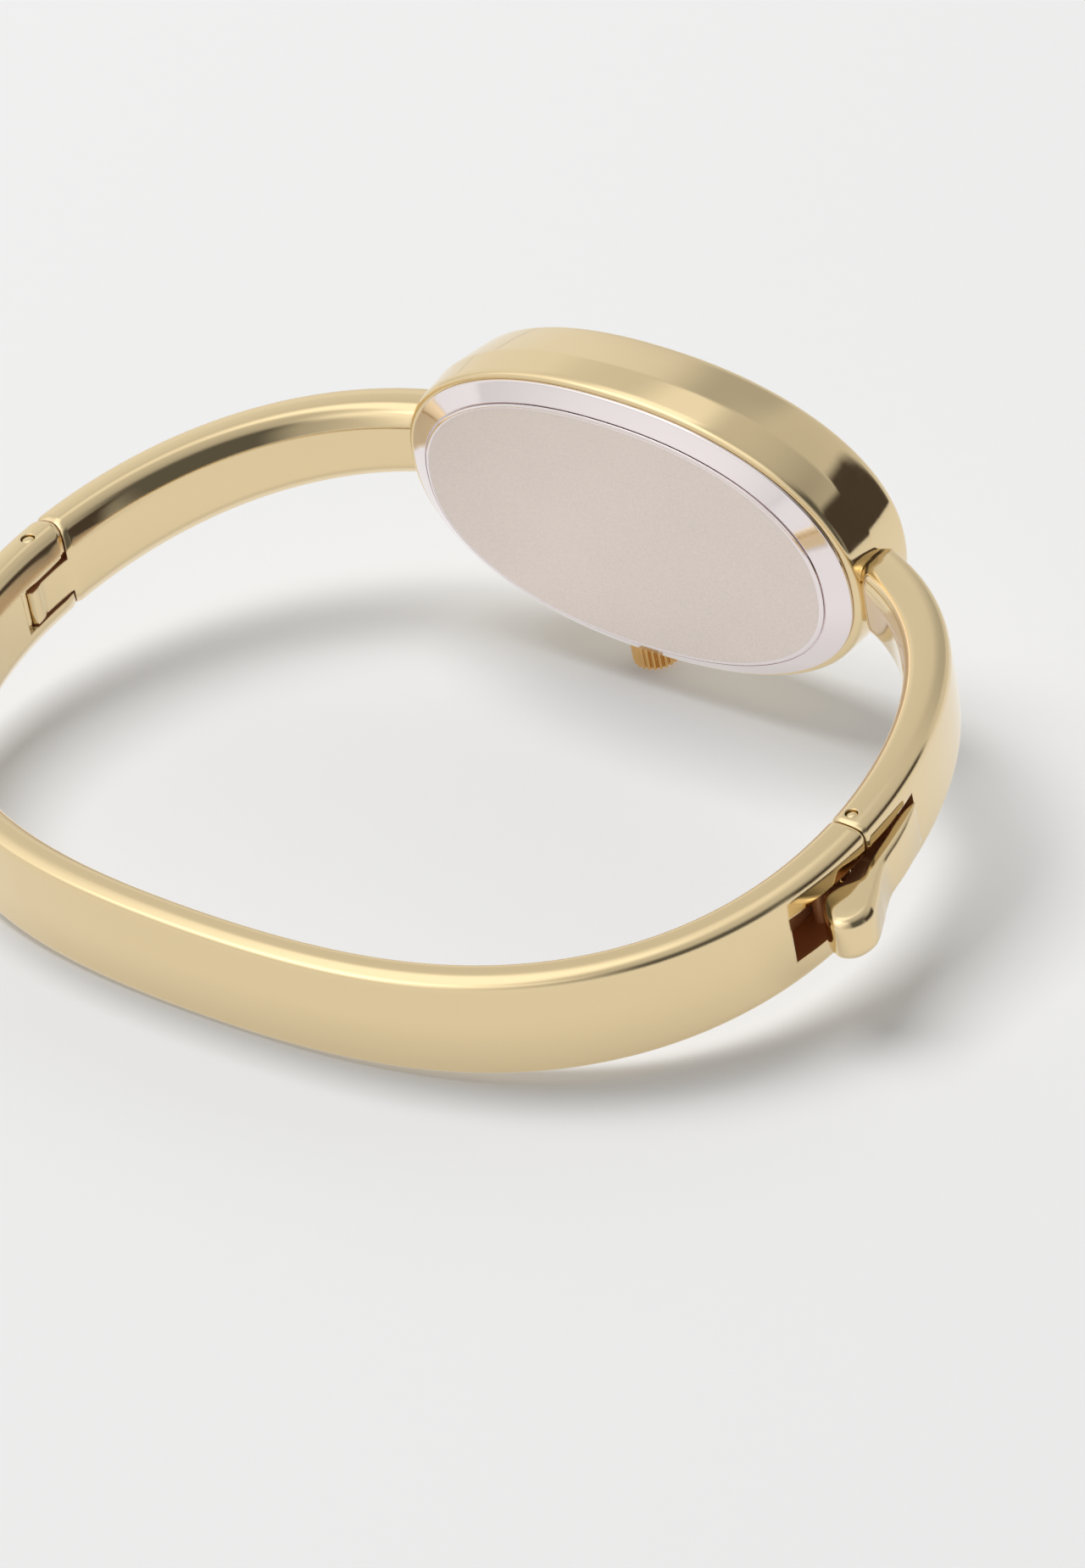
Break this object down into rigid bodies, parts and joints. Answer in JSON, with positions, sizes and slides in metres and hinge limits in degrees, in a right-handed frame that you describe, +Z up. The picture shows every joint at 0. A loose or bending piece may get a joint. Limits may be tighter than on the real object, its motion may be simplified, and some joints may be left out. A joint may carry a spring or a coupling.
{
  "type": "bracelet watch",
  "caption": "Oval bangle watch: slim case with steel back and side crown, rigid arms, hinged front band and a thumb latch, lying on its side.",
  "frame": {"origin": "centre of the bounding box in X and Y, at the table that the watch lies on", "axes": "+Z up from the table; X along the case, from the hinge side to the clasp side; +Y from the front band towards the dial. The ring's axis leans 10.2 degrees from Z, because the watch rests on its crown and the front of its band"},
  "size_m": [0.0668, 0.052, 0.0223],
  "materials": {
    "gold_plate": "polished pale gold plating",
    "deep_gold": "polished gold plating",
    "steel_back": "satin stainless steel",
    "seal_rubber": "smooth",
    "crystal_glass": "clear polished",
    "seal_plastic": "smooth",
    "dial_enamel": "smooth lacquer",
    "holder_plastic": "moulded",
    "board": "solder resist",
    "chip": "moulded resin",
    "movement_steel": "turned",
    "copper_coil": "wound enamelled wire",
    "movement_brass": "gilt"
  },
  "bodies": {
    "case": {"case_middle": "gold_plate", "case_back": "steel_back", "case_back_seal": "seal_rubber", "crystal": "crystal_glass", "crystal_seal": "seal_plastic", "dial": "dial_enamel", "hour_markers": "deep_gold", "movement_holder": "holder_plastic", "main_plate": "movement_brass", "centre_tube": "movement_steel", "circuit_board": "board", "control_chip": "chip", "quartz_can": "movement_steel", "coil": "copper_coil", "stator": "movement_steel", "train_bridge": "movement_brass", "bridge_screws": "movement_steel", "battery": "movement_steel", "battery_strap": "movement_brass", "crown_tube": "movement_steel", "left_arm": "gold_plate", "right_arm": "gold_plate", "hinge_pin": "deep_gold", "latch_pin": "deep_gold"},
    "front_band": {"front_band": "gold_plate", "catch_bar": "deep_gold"},
    "latch": {"latch_lever": "gold_plate"},
    "crown_slide": {"crown_seal": "seal_rubber"},
    "crown": {"crown": "deep_gold", "stem": "movement_steel", "clutch_wheel": "movement_steel"},
    "minute_hand": {"minute_hand": "deep_gold", "cannon_pinion": "movement_brass"},
    "hour_hand": {"hour_hand": "deep_gold", "hour_wheel": "movement_brass"},
    "minute_wheel": {"minute_wheel": "movement_brass"},
    "rotor": {"rotor": "movement_steel"},
    "intermediate_wheel": {"intermediate_wheel": "movement_brass"},
    "third_wheel": {"third_wheel": "movement_brass"},
    "centre_wheel": {"centre_wheel": "movement_brass"}
  },
  "joints": [
    {"name": "bangle_hinge", "type": "hinge", "parent": "case", "child": "front_band", "pos_m": [-0.0322, 0.00013, 0.00791], "axis": [0, 0.1772, -0.9842], "range_deg": [0, 60]},
    {"name": "latch_pivot", "type": "hinge", "parent": "case", "child": "latch", "pos_m": [0.02876, -0.00052, 0.00779], "axis": [0, -0.1772, 0.9842], "range_deg": [0, 24]},
    {"name": "crown_pull", "type": "slide", "parent": "case", "child": "crown_slide", "axis": [0, 0.1772, -0.9842], "range_m": [0, 0.0009]},
    {"name": "crown_turn", "type": "hinge", "parent": "crown_slide", "child": "crown", "pos_m": [-0.00253, 0.02243, 0.00135], "axis": [0, 0.1772, -0.9842], "continuous": true},
    {"name": "minute_hand_turn", "type": "hinge", "parent": "case", "child": "minute_hand", "pos_m": [-0.00083, 0.0227, 0.01257], "axis": [0, -0.9842, -0.1772], "continuous": true},
    {"name": "hour_hand_turn", "type": "hinge", "parent": "case", "child": "hour_hand", "pos_m": [-0.00083, 0.0227, 0.01257], "axis": [0, -0.9842, -0.1772], "continuous": true},
    {"name": "minute_wheel_turn", "type": "hinge", "parent": "case", "child": "minute_wheel", "pos_m": [-0.00227, 0.02205, 0.01051], "axis": [0, -0.9842, -0.1772], "continuous": true},
    {"name": "rotor_turn", "type": "hinge", "parent": "case", "child": "rotor", "pos_m": [-0.00438, 0.02063, 0.01052], "axis": [0, -0.9842, -0.1772], "continuous": true},
    {"name": "intermediate_turn", "type": "hinge", "parent": "case", "child": "intermediate_wheel", "pos_m": [-0.00418, 0.02023, 0.01271], "axis": [0, -0.9842, -0.1772], "continuous": true},
    {"name": "third_turn", "type": "hinge", "parent": "case", "child": "third_wheel", "pos_m": [-0.00222, 0.02048, 0.01136], "axis": [0, -0.9842, -0.1772], "continuous": true},
    {"name": "centre_turn", "type": "hinge", "parent": "case", "child": "centre_wheel", "pos_m": [-0.00083, 0.02073, 0.01222], "axis": [0, -0.9842, -0.1772], "continuous": true}
  ],
  "couplings": [
    {"joint": "hour_hand_turn", "follows": "minute_hand_turn", "ratio": 0.083333},
    {"joint": "minute_wheel_turn", "follows": "minute_hand_turn", "ratio": -0.33333},
    {"joint": "intermediate_turn", "follows": "rotor_turn", "ratio": -0.16667},
    {"joint": "third_turn", "follows": "rotor_turn", "ratio": 0.033333},
    {"joint": "centre_turn", "follows": "rotor_turn", "ratio": -0.011111}
  ]
}
